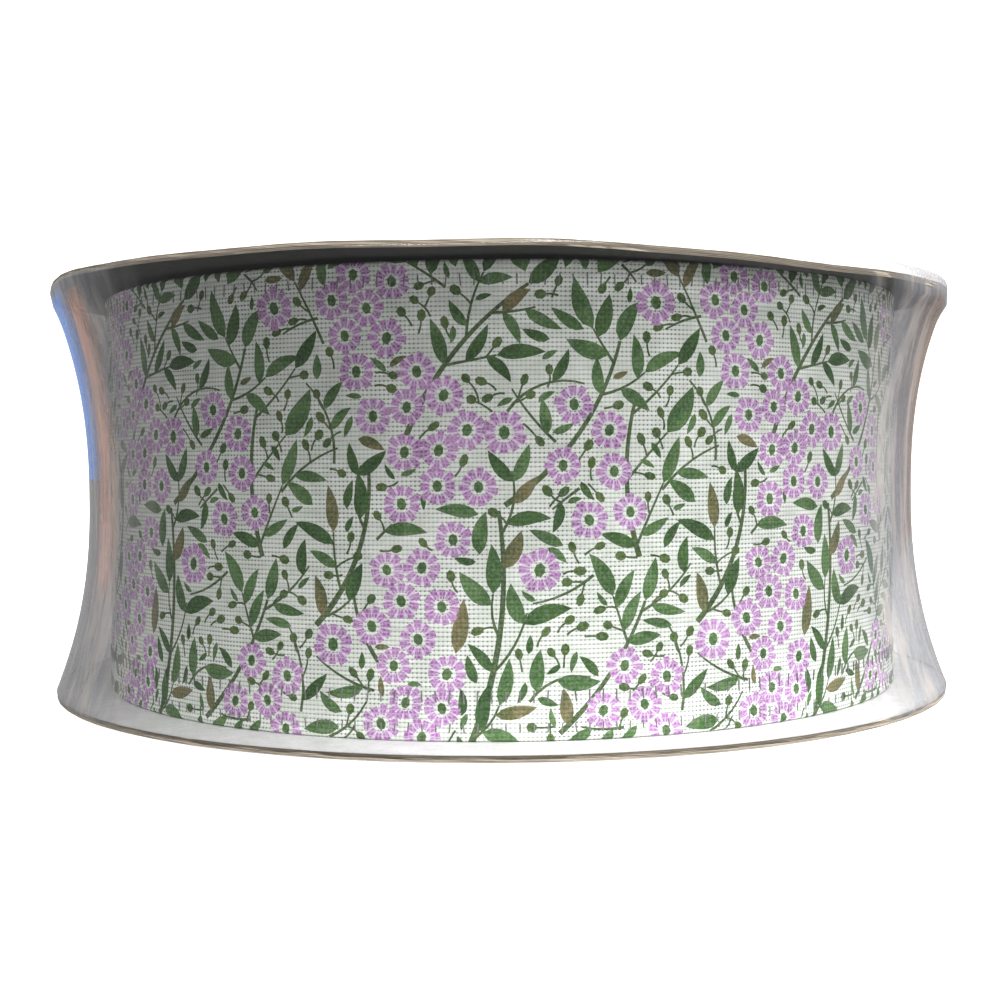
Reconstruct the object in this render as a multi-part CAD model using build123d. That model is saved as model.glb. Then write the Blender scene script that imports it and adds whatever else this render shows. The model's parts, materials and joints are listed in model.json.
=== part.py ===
from build123d import *
import os
from math import cos, degrees, radians, sin

# A reel of wired cloth ribbon in shrink film, standing on its lower flange.
# +Z runs up the reel's axis. The origin is on that axis, on the surface that the reel stands on.
# All sizes are in millimetres.

# Ribbon: one woven strip with a folded hem along each edge, and a wire inside each fold
RIBBON_WIDTH = 63.0
CLOTH = 0.30  # one layer of the woven cloth
HEM_DEPTH = 5.5
WIRE_DIAMETER = 0.30
WIRE_SIDES = 8  # flats that stand for the wire's round section
WIRE_CLEARANCE = 0.05  # round the wire, inside its fold
TURN_GAP = 0.09  # air between one turn's hem and the next
MEETING_TOLERANCE = 0.001  # how near the XZ plane a half turn's cut ends are known by
TAIL_ANGLE = 68.0  # degrees from +X, where the ribbon's free end lies

# Core: a wound card tube with a white paper cover
CORE_RADIUS = 35.0  # outside, over the cover
CORE_COVER = 0.3
CORE_WALL = 2.4  # of the card tube under the cover
WINDING_CLEARANCE = 0.05  # between the core and the first turn

# Flanges: a grey board disc with a paper pasted on each face
FLANGE_RADIUS = 75.0
BOARD = 0.7
PAPER = 0.1
BORE_RADIUS = 12.7  # takes the rod of a dispenser
SEAT_GAP = 0.05  # between the ribbon's lower edge and the flange that it rests on
HEAD_GAP = 0.75  # between the ribbon's upper edge and the upper flange
RIM_MARGIN = 8.4  # the least that the flange stands out past the roll
GLUE_BEAD = 2.0  # radius of the glue fillet where the core meets a flange

# Film: a shrunk sleeve, drawn in between the flanges and lapped over their outer faces
FILM = 0.15
FILM_LAP = 15.0
FILM_STAND_OFF = 2.85  # between the outer turn and the film's waist

# Tapes that hold the two ends of the ribbon
TAPE = 0.1
TAPE_CLEARANCE = 0.05
TAIL_TAPE_WIDTH = 19.0
START_TAPE_WIDTH = 12.0
TAPE_REACH = 10.0  # along the ribbon, on each side of the ribbon's end
TAPE_RAMP = 3.0  # along the ribbon, where the tape comes down off the end

# Sizes that follow from those above
HEM = 2 * CLOTH + WIRE_DIAMETER + 2 * WIRE_CLEARANCE
POCKET = WIRE_DIAMETER + 2 * WIRE_CLEARANCE
PITCH = HEM + TURN_GAP
CORE_LENGTH = SEAT_GAP + RIBBON_WIDTH + HEAD_GAP
CORE_BODY_RADIUS = CORE_RADIUS - CORE_COVER
CORE_BORE_RADIUS = CORE_BODY_RADIUS - CORE_WALL
FLANGE = BOARD + 2 * PAPER
LOWER_FLANGE_Z = FILM
LOWER_FLANGE_TOP_Z = LOWER_FLANGE_Z + FLANGE
RIBBON_Z = LOWER_FLANGE_TOP_Z + SEAT_GAP
UPPER_FLANGE_Z = LOWER_FLANGE_TOP_Z + CORE_LENGTH
UPPER_FLANGE_TOP_Z = UPPER_FLANGE_Z + FLANGE
MIDDLE_Z = (LOWER_FLANGE_Z + UPPER_FLANGE_TOP_Z) / 2
FIRST_TURN_RADIUS = CORE_RADIUS + WINDING_CLEARANCE
WINDING_ROOM = FLANGE_RADIUS - RIM_MARGIN - FIRST_TURN_RADIUS - HEM
HALF_TURNS = 1 + int(WINDING_ROOM / (PITCH / 2))
ROLL_RADIUS = FIRST_TURN_RADIUS + (HALF_TURNS - 1) * PITCH / 2 + HEM
FILM_WAIST_RADIUS = ROLL_RADIUS + FILM_STAND_OFF


def half_turn_centre(index):
    """Where a half turn's arc is centred: the two centres lie half a pitch apart."""
    return 0.0 if index % 2 == 0 else PITCH / 2


def half_turn_radius(index):
    """The radius of the back of a half turn's hem, about that half turn's own centre."""
    return FIRST_TURN_RADIUS + index * PITCH / 2


def wound(section_at):
    """Turns a section through every half turn of the spiral and sews the faces into one strip.

    section_at(radius) gives the section in the XZ plane for a hem whose back is at that radius.
    Neighbouring half turns meet on the XZ plane, so only the strip's two ends keep a face there.
    """
    faces = []
    for index in range(HALF_TURNS):
        arc = revolve(section_at(half_turn_radius(index)), Axis.Z, 180)
        sides = [face for face in arc.faces() if abs(face.center().Y) > MEETING_TOLERANCE]
        ends = [face for face in arc.faces() if abs(face.center().Y) <= MEETING_TOLERANCE]
        kept = list(sides)
        if index == 0:
            kept.append(max(ends, key=lambda face: face.center().X))
        if index == HALF_TURNS - 1:
            kept.append(min(ends, key=lambda face: face.center().X))
        place = Location((half_turn_centre(index), 0, 0), (0, 0, 180 * (index % 2)))
        faces.extend(face.moved(place) for face in kept)
    return at_tail(Solid(Shell(faces)))


def at_tail(shape):
    """Turns a shape made with the ribbon's free end on -X or +X so that the end lies at TAIL_ANGLE."""
    made_at = 180 if HALF_TURNS % 2 else 0
    return shape.rotate(Axis.Z, TAIL_ANGLE - made_at)


def rectangle(low_r, high_r, low_z, high_z):
    """A rectangle in the XZ plane."""
    corners = [(low_r, 0, low_z), (high_r, 0, low_z), (high_r, 0, high_z), (low_r, 0, high_z)]
    return make_face(Polyline(*corners, close=True))


def ribbon_section(back):
    """The strip across its width: a web, and at each edge a fold round the wire and down the back."""
    front = back + HEM
    top = RIBBON_Z + RIBBON_WIDTH
    section = rectangle(front - CLOTH, front, RIBBON_Z, top)
    fold = 2 * CLOTH + POCKET
    for edge, inward in ((RIBBON_Z, 1), (top, -1)):
        low_fold, high_fold = sorted((edge, edge + inward * fold))
        low_hem, high_hem = sorted((edge, edge + inward * HEM_DEPTH))
        low_pocket, high_pocket = sorted((edge + inward * CLOTH, edge + inward * (fold - CLOTH)))
        section += rectangle(front - 2 * CLOTH, front, low_hem, high_hem)
        section += rectangle(back, front, low_fold, high_fold)
        section -= rectangle(back + CLOTH, back + CLOTH + POCKET, low_pocket, high_pocket)
    return section


def wire_section(edge, inward):
    """The wire across, in the middle of the fold at one edge of the ribbon."""

    def at(back):
        centre = (back + CLOTH + POCKET / 2, 0, edge + inward * (CLOTH + POCKET / 2))
        across = Plane(origin=centre, x_dir=(1, 0, 0), z_dir=(0, -1, 0))
        return across * RegularPolygon(WIRE_DIAMETER / 2, WIRE_SIDES)

    return at


def disc(radius, thickness, low_z, bore=BORE_RADIUS):
    """A flat ring on the reel's axis."""
    face = Circle(radius) - Circle(bore)
    return extrude(Plane.XY.offset(low_z) * face, thickness)


def flange(name, low_z, outer_is_low):
    """The three layers of a flange, by node name."""
    outer_z, inner_z = (low_z, low_z + PAPER + BOARD) if outer_is_low else (low_z + PAPER + BOARD, low_z)
    return {
        f"{name}_flange_board": disc(FLANGE_RADIUS, BOARD, low_z + PAPER),
        f"{name}_flange_outer_paper": disc(FLANGE_RADIUS, PAPER, outer_z),
        f"{name}_flange_inner_paper": disc(FLANGE_RADIUS, PAPER, inner_z),
    }


def core():
    """The card tube and its cover, as long as the flanges stand apart."""
    body = disc(CORE_BODY_RADIUS, CORE_LENGTH, LOWER_FLANGE_TOP_Z, CORE_BORE_RADIUS)
    cover = disc(CORE_RADIUS, CORE_LENGTH, LOWER_FLANGE_TOP_Z, CORE_BODY_RADIUS)
    return {"core_tube": body, "core_cover": cover}


def glue_bead(flange_z, inward):
    """A quarter-round bead of glue inside the core, in the corner with a flange."""
    corner = (CORE_BORE_RADIUS, 0, flange_z)
    foot = (CORE_BORE_RADIUS - GLUE_BEAD, 0, flange_z)
    top = (CORE_BORE_RADIUS, 0, flange_z + inward * GLUE_BEAD)
    bulge = GLUE_BEAD * sin(radians(45))
    middle = (CORE_BORE_RADIUS - bulge, 0, flange_z + inward * bulge)
    outline = [Line(top, corner), Line(corner, foot), ThreePointArc(foot, middle, top)]
    return revolve(make_face(outline), Axis.Z, 360)


def film_outline(offset):
    """The sleeve's inside, or its outside where offset is the film's thickness, from lap to lap."""
    rim = FLANGE_RADIUS + offset
    lap = FLANGE_RADIUS - FILM_LAP
    low, high = LOWER_FLANGE_Z - offset, UPPER_FLANGE_TOP_Z + offset
    waist = (FILM_WAIST_RADIUS + offset, 0, MIDDLE_Z)
    lower_rim = (rim, 0, LOWER_FLANGE_TOP_Z)
    upper_rim = (rim, 0, UPPER_FLANGE_Z)
    return [
        Line((lap, 0, low), (rim, 0, low)),
        Line((rim, 0, low), lower_rim),
        ThreePointArc(lower_rim, waist, upper_rim),
        Line(upper_rim, (rim, 0, high)),
        Line((rim, 0, high), (lap, 0, high)),
    ]


def film_sleeve():
    """The shrunk film: one skin of revolution, open in the middle of each flange."""
    inside, outside = film_outline(0), film_outline(FILM)
    ends = [Line(inside[k] @ t, outside[k] @ t) for k, t in ((0, 0), (-1, 1))]
    return revolve(make_face(inside + outside + ends), Axis.Z, 360)


def arc_strip(centre_x, radius, low_angle, high_angle):
    """A strip of tape in the XY plane, bent round a centre on the X axis."""
    centre = (centre_x, 0)
    low = CenterArc(centre, radius, low_angle, high_angle - low_angle)
    high = CenterArc(centre, radius + TAPE, low_angle, high_angle - low_angle)
    return make_face([low, high, Line(low @ 0, high @ 0), Line(low @ 1, high @ 1)])


def end_tape(centre_x, radius, drop, end_angle, way, width):
    """Tape over an end of the ribbon, and down onto what lies drop below it.

    way is 1 where the tape comes down on the side of larger angles, and -1 on the other.
    """

    def angle(length):
        return end_angle + way * degrees(length / radius)

    def point(r, length):
        a = radians(angle(length))
        return (centre_x + r * cos(a), r * sin(a))

    high, low = radius + TAPE_CLEARANCE, radius - drop + TAPE_CLEARANCE
    on_end = arc_strip(centre_x, high, *sorted((angle(-TAPE_REACH), angle(TAPE_CLEARANCE))))
    below = arc_strip(centre_x, low, *sorted((angle(TAPE_RAMP), angle(TAPE_RAMP + TAPE_REACH))))
    ramp = make_face(
        Polyline(
            point(high, TAPE_CLEARANCE),
            point(high + TAPE, TAPE_CLEARANCE),
            point(low + TAPE, TAPE_RAMP),
            point(low, TAPE_RAMP),
            close=True,
        )
    )
    return extrude(Plane.XY.offset(MIDDLE_Z - width / 2) * (on_end + ramp + below), width)


def tail_tape():
    """Tape over the ribbon's free end, and down onto the turn below."""
    last = HALF_TURNS - 1
    radius = half_turn_radius(last) + HEM
    end_angle = 180 if HALF_TURNS % 2 else 360
    return at_tail(end_tape(half_turn_centre(last), radius, PITCH, end_angle, 1, TAIL_TAPE_WIDTH))


def start_tape():
    """Tape over the ribbon's first end, and down onto the core's cover."""
    radius = FIRST_TURN_RADIUS + HEM
    drop = HEM + WINDING_CLEARANCE
    return at_tail(end_tape(0.0, radius, drop, 0, -1, START_TAPE_WIDTH))


def build():
    """Every piece of the reel, by node name."""
    top = RIBBON_Z + RIBBON_WIDTH
    return {
        **flange("lower", LOWER_FLANGE_Z, True),
        **flange("upper", UPPER_FLANGE_Z, False),
        **core(),
        "lower_glue_bead": glue_bead(LOWER_FLANGE_TOP_Z, 1),
        "upper_glue_bead": glue_bead(UPPER_FLANGE_Z, -1),
        "ribbon": wound(ribbon_section),
        "lower_edge_wire": wound(wire_section(RIBBON_Z, 1)),
        "upper_edge_wire": wound(wire_section(top, -1)),
        "ribbon_tail_tape": tail_tape(),
        "ribbon_start_tape": start_tape(),
        "film_sleeve": film_sleeve(),
    }


os.makedirs("parts", exist_ok=True)
for node, shape in build().items():
    export_step(shape, f"parts/{node}.step")
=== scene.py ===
import json
import math
import random

import bpy
import numpy as np
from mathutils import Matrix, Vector
from mathutils.geometry import delaunay_2d_cdt


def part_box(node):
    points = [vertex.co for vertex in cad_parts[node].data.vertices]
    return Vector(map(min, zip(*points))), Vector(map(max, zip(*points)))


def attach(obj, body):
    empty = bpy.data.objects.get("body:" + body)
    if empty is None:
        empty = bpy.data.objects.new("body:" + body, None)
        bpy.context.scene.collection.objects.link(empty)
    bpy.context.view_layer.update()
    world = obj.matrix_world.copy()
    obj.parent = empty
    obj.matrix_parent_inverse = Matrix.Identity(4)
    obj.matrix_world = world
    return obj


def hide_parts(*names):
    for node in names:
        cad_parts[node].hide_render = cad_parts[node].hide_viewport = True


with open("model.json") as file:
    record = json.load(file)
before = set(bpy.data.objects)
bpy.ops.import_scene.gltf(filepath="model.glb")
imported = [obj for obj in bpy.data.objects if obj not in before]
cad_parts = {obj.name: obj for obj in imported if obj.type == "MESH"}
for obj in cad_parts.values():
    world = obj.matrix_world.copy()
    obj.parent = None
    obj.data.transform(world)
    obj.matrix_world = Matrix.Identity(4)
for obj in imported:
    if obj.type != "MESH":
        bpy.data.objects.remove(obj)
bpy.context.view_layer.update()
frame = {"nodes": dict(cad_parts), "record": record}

# A reel of wired cloth ribbon in shrink film, standing on its lower flange.
# Lengths are in metres, except in the print's layout, which is drawn in millimetres.

MM = 0.001

# Sizes read from the frame
FLANGE_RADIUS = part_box("upper_flange_board")[1].x
BORE_RADIUS = frame["record"]["mounts"][0]["dims"]["r_mm"] * MM
RIBBON_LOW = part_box("ribbon")[0].z
RIBBON_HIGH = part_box("ribbon")[1].z
RIBBON_WIDTH = RIBBON_HIGH - RIBBON_LOW
FILM_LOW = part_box("film_sleeve")[0].z
FILM_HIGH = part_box("film_sleeve")[1].z
FILM_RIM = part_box("film_sleeve")[1].x

# The winding, as the part's source has it
FIRST_TURN_BACK = 35.05 * MM
TURN_PITCH = 1.09 * MM
HEM_THICKNESS = 1.0 * MM
HEM_DEPTH = 5.5 * MM
HALF_TURNS = 57
TAIL_ANGLE = math.radians(68)
ROLL_RADIUS = FIRST_TURN_BACK + (HALF_TURNS - 1) * TURN_PITCH / 2 + HEM_THICKNESS
FILM_WAIST = ROLL_RADIUS + 3.0 * MM
FILM_LAP_RADIUS = FLANGE_RADIUS - 15 * MM

# Out of true: the flanges are flat as far out as this, and wave by this much at their rims
FLAT_RADIUS = 30 * MM
UPPER_SAG = 0.55 * MM
LOWER_SAG = 0.0
RIGHT_DROOP = 1.4 * MM
LEFT_DROOP = 0.6 * MM

# How far the core's wound card rises in one turn
CORE_PLY_RISE = 58 * MM

# The print's repeat, and the cloth's threads, in millimetres
REPEAT = 52.5
REPEATS = 8
WIDTH = RIBBON_WIDTH / MM
THREAD_ALONG = 0.585
THREAD_ACROSS = 0.6

# How the cloth stands out over the wire near its edges, and over its hems, in millimetres
WIRE_BULGE = 0.16
WIRE_FROM_EDGE = 0.5
WIRE_SPREAD = 0.32
HEM_BULGE = 0.10
EDGE_ROLL = 0.25
ROLLED_WIDTH = 0.3

# The daisies: how far apart, how far from a drift's middle, and how near the edges they may be
DAISY_SPACING = 4.45
DRIFT_HALF_WIDTH = 5.2
EDGE_MARGIN = 0.3


# ---------------------------------------------------------------- shader maths


class Socket:
    """One shader socket. Arithmetic on it adds Math nodes, and node() adds any other kind."""

    def __init__(self, tree, socket=None):
        self.tree = tree
        self.socket = socket

    def node(self, kind, settings=None, inputs=None, output=0):
        """Adds a node of this kind. Settings come first, then the sockets' values or links."""
        added = self.tree.nodes.new(kind)
        for name, value in (settings or {}).items():
            setattr(added, name, value)
        for name, value in (inputs or {}).items():
            if isinstance(value, Socket):
                self.tree.links.new(value.socket, added.inputs[name])
            else:
                added.inputs[name].default_value = value
        return Socket(self.tree, added.outputs[output] if added.outputs else None)

    def maths(self, operation, *values):
        """Adds a Math node."""
        return self.node("ShaderNodeMath", {"operation": operation}, dict(enumerate(values)))

    def __add__(self, other):
        return self.maths("ADD", self, other)

    def __radd__(self, other):
        return self.maths("ADD", other, self)

    def __sub__(self, other):
        return self.maths("SUBTRACT", self, other)

    def __rsub__(self, other):
        return self.maths("SUBTRACT", other, self)

    def __mul__(self, other):
        return self.maths("MULTIPLY", self, other)

    def __rmul__(self, other):
        return self.maths("MULTIPLY", other, self)

    def __truediv__(self, other):
        return self.maths("DIVIDE", self, other)

    def __abs__(self):
        return self.maths("ABSOLUTE", self)

    def step(self, low, high):
        """0 below low, 1 above high, and smooth between them. It falls where low is above high."""
        bottom, top = sorted((low, high))
        ends = (0.0, 1.0) if low < high else (1.0, 0.0)
        return self.node(
            "ShaderNodeMapRange",
            {"interpolation_type": "SMOOTHSTEP"},
            {0: self, 1: bottom, 2: top, 3: ends[0], 4: ends[1]},
        )


def linear(red, green, blue):
    """A colour given as 0 to 255 on a display, as the shader wants it."""
    parts = [c / 255 for c in (red, green, blue)]
    return tuple(c / 12.92 if c <= 0.04045 else ((c + 0.055) / 1.055) ** 2.4 for c in parts) + (1.0,)


def blend(factor, first, second):
    """A Mix node on colours."""
    return factor.node("ShaderNodeMix", {"data_type": "RGBA"}, {0: factor, 6: first, 7: second}, 2)


def object_xyz(start):
    """The three Object coordinates."""
    place = start.node("ShaderNodeTexCoord", output=3)
    parts = start.node("ShaderNodeSeparateXYZ", None, {0: place})
    outputs = parts.socket.node.outputs
    return place, [Socket(start.tree, outputs[k]) for k in range(3)]


def noise(vector, scale, detail=2.0, roughness=0.5, stretch=(1, 1, 1)):
    """Smooth noise in 0 to 1, finer where the scale is larger, and stretched along each axis."""
    placed = vector.node("ShaderNodeMapping", None, {0: vector, 3: stretch})
    inputs = {"Vector": placed, "Scale": scale, "Detail": detail, "Roughness": roughness}
    return vector.node("ShaderNodeTexNoise", None, inputs)


def bumped(height, depth, strength=0.5):
    """A Bump node that raises the surface by up to depth, in metres."""
    return height.node("ShaderNodeBump", None, {"Strength": strength, "Distance": depth, "Height": height})


def material(name):
    """An empty material, and a start for its nodes."""
    made = bpy.data.materials.new(name)
    made.use_nodes = True
    made.node_tree.nodes.clear()
    return made, Socket(made.node_tree)


def principled(start, **inputs):
    """A Principled shader. An underscore in an input's name stands for a space."""
    values = {name.replace("_", " "): value for name, value in inputs.items()}
    return start.node("ShaderNodeBsdfPrincipled", None, values)


def finish_with(made, surface):
    """Links a surface to the material's output."""
    Socket(made.node_tree).node("ShaderNodeOutputMaterial", None, {0: surface})
    return made


def cloth_material(name, dye, seam, strength, bare_share):
    """Woven cloth. dye is its thread colours, and seam the colour of the gaps between threads: painted shade
    for the white and green inks, pale undyed thread for the lilac ones.
    strength is how far the gaps along it, the gaps across it and the holes show; the holes are painted
    near-black shade. bare_share is how much undyed thread shows."""
    made, start = material(name)
    uv = start.node("ShaderNodeUVMap", {"uv_map": "threads"})
    parts = start.node("ShaderNodeSeparateXYZ", None, {0: uv})
    along, across = (Socket(start.tree, parts.socket.node.outputs[k]) for k in range(2))
    place, _ = object_xyz(start)
    column, row = along.maths("FLOOR", along), across.maths("FLOOR", across)
    in_column, in_row = abs(along.maths("FRACT", along) - 0.5), abs(across.maths("FRACT", across) - 0.5)
    # Each thread is a little thicker or thinner than the next, and varies along its length
    row_key = start.node("ShaderNodeCombineXYZ", None, {0: along * 0.06, 1: row * 0.77, 2: 3.0})
    column_key = start.node("ShaderNodeCombineXYZ", None, {0: column * 0.77, 1: across * 0.06, 2: 9.0})
    row_slub = noise(row_key, 1.0, 3.0, 0.6)
    column_slub = noise(column_key, 1.0, 3.0, 0.6)
    row_gap = (in_row + (row_slub - 0.5) * 0.3).step(0.25, 0.42)
    column_gap = (in_column + (column_slub - 0.5) * 0.3).step(0.24, 0.38)
    open_patch = noise(place, 110.0, 2.0).step(0.34, 0.62) * 0.8 + 0.2
    hole = row_gap * column_gap * open_patch
    over = (column + row).maths("PINGPONG", column + row, 1.0)
    crown = (1 - in_row * 1.6) * over + (1 - in_column * 1.6) * (1 - over)
    height = crown - row_gap * 0.9 - hole * 1.2
    grain = noise(place, 2600.0, 1.0)
    tone = noise(place, 260.0, 2.0)
    colour = blend(tone.step(0.3, 0.72), dye[0], dye[1])
    colour = blend(grain.step(0.3, 0.8) * bare_share, colour, linear(232, 230, 226))
    # Painted shade: thin threads, the gaps between threads and the holes take the seam colour and a
    # near-black, standing in for shade in the weave's hollows (for the lilac inks the seam colour is pale
    # undyed thread)
    colour = blend(row_slub.step(0.55, 0.3) * 0.2, colour, seam)
    colour = blend(row_gap * strength[0] + column_gap * strength[1], colour, seam)
    colour = blend(hole * strength[2], colour, linear(50, 48, 50))
    bump = bumped(height, 0.0001)
    surface = principled(
        start, Base_Color=colour, Roughness=0.85, Specular_IOR_Level=0.15, Sheen_Weight=0.04, Normal=bump
    )
    return finish_with(made, surface)


def film_material():
    """Clear shrink film: glossy, a little milky, and streaked where it is drawn in. Its milk is a grey that
    thickens towards the film's silhouette: partly real haze, and partly painted shade that darkens the film's
    edges.
    """
    made, start = material("shrink_film")
    place, (x, y, z) = object_xyz(start)
    round_key = start.node("ShaderNodeCombineXYZ", None, {0: x * 30, 1: y * 30, 2: z * 4})
    streaks = noise(round_key, 9.0, 4.0, 0.6)
    fine = noise(round_key, 34.0, 3.0, 0.6)
    facing = start.node("ShaderNodeLayerWeight", None, {"Blend": 0.5}, 1)
    rim = start.node("ShaderNodeFresnel", None, {"IOR": 1.45})
    creases = bumped(streaks * 0.7 + fine * 0.3, 0.0006, 0.35)
    clear = start.node("ShaderNodeBsdfTransparent", None, {"Color": (0.97, 0.975, 0.98, 1)})
    gloss = start.node(
        "ShaderNodeBsdfAnisotropic", None, {"Color": (1, 1, 1, 1), "Roughness": 0.1, "Normal": creases}
    )
    # Painted shade: the milk's greys, and the veil that grows where the film is seen edge-on, darken the film
    # towards its silhouette on top of its real haze
    haze_shade_tint = blend(streaks.step(0.35, 0.65), linear(114, 116, 124), linear(158, 153, 150))
    milk = principled(start, Base_Color=haze_shade_tint, Roughness=0.9, Specular_IOR_Level=0.0)
    haze_and_shade_veil = facing.step(0.4, 0.74) * (streaks.step(0.3, 0.7) * 0.35 + 0.56) + fine.step(0.55, 0.8) * 0.04
    hazy = start.node("ShaderNodeMixShader", None, {0: haze_and_shade_veil, 1: clear, 2: milk})
    surface = start.node("ShaderNodeMixShader", None, {0: rim * 0.8, 1: hazy, 2: gloss})
    return finish_with(made, surface)


def board_material(name, dark, light):
    """Grey board: fibres on its faces, and plies along its cut edge."""
    made, start = material(name)
    place, _ = object_xyz(start)
    across = start.node("ShaderNodeAttribute", {"attribute_name": "across"}, None, 2)
    fibre = noise(place, 900.0, 4.0, 0.65, (1, 1, 3))
    plies = abs((across * 3.6 + fibre * 0.35).maths("FRACT", across * 3.6 + fibre * 0.35) - 0.5)
    shade = plies.step(0.12, 0.42) * 0.65 + fibre * 0.35
    colour = blend(shade, dark, light)
    bump = bumped(shade, 0.0001)
    return finish_with(made, principled(start, Base_Color=colour, Roughness=0.85, Normal=bump))


def mottled_material(name, dark, light, scale, rough, bump_height, stretch=(1, 1, 1), **extra):
    """A plain finish whose colour and surface vary softly."""
    made, start = material(name)
    place, _ = object_xyz(start)
    coarse = noise(place, scale, 4.0, 0.6, stretch)
    fine = noise(place, scale * 6, 2.0, 0.5, stretch)
    shade = coarse * 0.6 + fine * 0.4
    colour = blend(shade.step(0.3, 0.7), dark, light)
    bump = bumped(shade, bump_height)
    roughness = shade * 0.15 + (rough - 0.07)
    surface = principled(start, Base_Color=colour, Roughness=roughness, Normal=bump, **extra)
    return finish_with(made, surface)


def core_material():
    """Spirally wound card: a seam runs round the tube, between fibres that run with it."""
    made, start = material("wound_core_card")
    place, (x, y, z) = object_xyz(start)
    turn = start.maths("ARCTAN2", y, x) / (2 * math.pi)
    wind = turn + z / CORE_PLY_RISE
    seam = abs(wind.maths("FRACT", wind) - 0.5).step(0.006, 0.0)
    fibre = noise(place, 700.0, 4.0, 0.6, (1, 1, 2.5))
    colour = blend(seam * 0.7, blend(fibre, linear(136, 112, 84), linear(178, 152, 120)), linear(84, 66, 48))
    bump = bumped(fibre * 0.4 - seam, 0.0002, 0.6)
    return finish_with(made, principled(start, Base_Color=colour, Roughness=0.88, Normal=bump))


def tape_material():
    """Clear adhesive tape, glossy, with faint bubbles under it."""
    made, start = material("clear_tape")
    place, _ = object_xyz(start)
    bubbles = noise(place, 900.0, 3.0, 0.6)
    bump = bumped(bubbles, 0.0001, 0.3)
    clear = start.node("ShaderNodeBsdfTransparent", None, {"Color": (0.96, 0.95, 0.9, 1)})
    pale = (0.9, 0.88, 0.8, 1)
    body = principled(start, Base_Color=pale, Roughness=bubbles * 0.1 + 0.12, Normal=bump)
    dull = bubbles.step(0.5, 0.8) * 0.2 + 0.14
    surface = start.node("ShaderNodeMixShader", None, {0: dull, 1: clear, 2: body})
    return finish_with(made, surface)


# ---------------------------------------------------------------- the print's layout


class Layout:
    """One repeat of the print. Shapes are polygons in millimetres, x along the ribbon, y up."""

    CELL = 0.25

    def __init__(self, seed):
        self.random = random.Random(seed)
        self.shapes = []
        self.columns = round(REPEAT / self.CELL)
        self.rows = round(WIDTH / self.CELL)
        self.taken = np.zeros((self.rows, self.columns), bool)

    def cells(self, outline):
        """The rows and columns of the cells inside an outline. Columns wrap round the repeat."""
        xs, ys = np.array(outline).T / self.CELL
        left, right = math.floor(xs.min()), math.ceil(xs.max())
        low, high = math.floor(ys.min()), math.ceil(ys.max())
        gx, gy = np.meshgrid(np.arange(left, right + 1) + 0.5, np.arange(low, high + 1) + 0.5)
        inside = np.zeros(gx.shape, bool)
        for k in range(len(xs)):
            x1, y1, x2, y2 = xs[k - 1], ys[k - 1], xs[k], ys[k]
            if y1 != y2:
                crosses = (y1 > gy) != (y2 > gy)
                inside ^= crosses & (gx < (x2 - x1) * (gy - y1) / (y2 - y1) + x1)
        rows, columns = gy[inside].astype(int), gx[inside].astype(int) % self.columns
        kept = (rows >= 0) & (rows < self.rows)
        return rows[kept], columns[kept]

    def share_taken(self, outline):
        """How much of an outline is over something already placed."""
        rows, columns = self.cells(outline)
        return self.taken[rows, columns].mean() if len(rows) else 1.0

    def is_taken(self, x, y):
        """Whether a point is off the strip or on something already placed."""
        row = int(y // self.CELL)
        return not 0 <= row < self.rows or self.taken[row, int(x // self.CELL) % self.columns]

    def add(self, kind, outline, margin=None):
        """Places a shape, and keeps its own cells or those of its margin from being used again."""
        self.shapes.append((kind, outline))
        rows, columns = self.cells(margin or outline)
        self.taken[rows, columns] = True


def polar(x, y, length, heading):
    """The point this far from another, along a heading."""
    return x + length * math.cos(heading), y + length * math.sin(heading)


def leaf_outline(x, y, heading, length, width, bend, grow=0.0):
    """A pointed leaf whose rib bends by bend radians from base to tip."""
    steps = 6
    left, right = [], []
    px, py = polar(x, y, -grow, heading)
    step = (length + 2 * grow) / steps
    for k in range(steps + 1):
        t = k / steps
        way = heading + bend * t
        half = (width / 2) * math.sin(math.pi * t ** 0.78) ** 0.85 + grow * (0 < k < steps)
        left.append(polar(px, py, half, way + math.pi / 2))
        right.append(polar(px, py, half * 0.86, way - math.pi / 2))
        px, py = polar(px, py, step, way)
    return left + right[-2:0:-1]


def oval_outline(x, y, heading, length, width, count=8):
    """An oval centred on a point."""
    outline = []
    for k in range(count):
        a = 2 * math.pi * k / count
        u, v = length / 2 * math.cos(a), width / 2 * math.sin(a)
        ux, uy = polar(x, y, u, heading)
        outline.append(polar(ux, uy, v, heading + math.pi / 2))
    return outline


def stem_outline(path, base, tip):
    """A stem along a path, from its width at the base to its width at the tip."""
    left, right = [], []
    for k, (x, y) in enumerate(path):
        ax, ay = path[max(k - 1, 0)]
        bx, by = path[min(k + 1, len(path) - 1)]
        way = math.atan2(by - ay, bx - ax)
        half = (base + (tip - base) * k / (len(path) - 1)) / 2
        left.append(polar(x, y, half, way + math.pi / 2))
        right.append(polar(x, y, half, way - math.pi / 2))
    return left + right[::-1]


def curve_path(x, y, heading, length, bend, step=1.5):
    """A path that bends steadily, by bend radians over its length."""
    count = max(3, round(length / step))
    path, headings = [(x, y)], [heading]
    for k in range(count):
        heading += bend / count
        x, y = polar(x, y, length / count, heading)
        path.append((x, y))
        headings.append(heading)
    return path, headings


# A notched petal: how far each of its corners is from the daisy's centre, as a share of the
# daisy's reach, and how far round
PETAL = ((0.47, -0.25), (0.47, -0.05), (0.78, 0.0), (0.47, 0.05), (0.47, 0.25), (1.0, 0.2), (1.0, -0.2))


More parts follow.
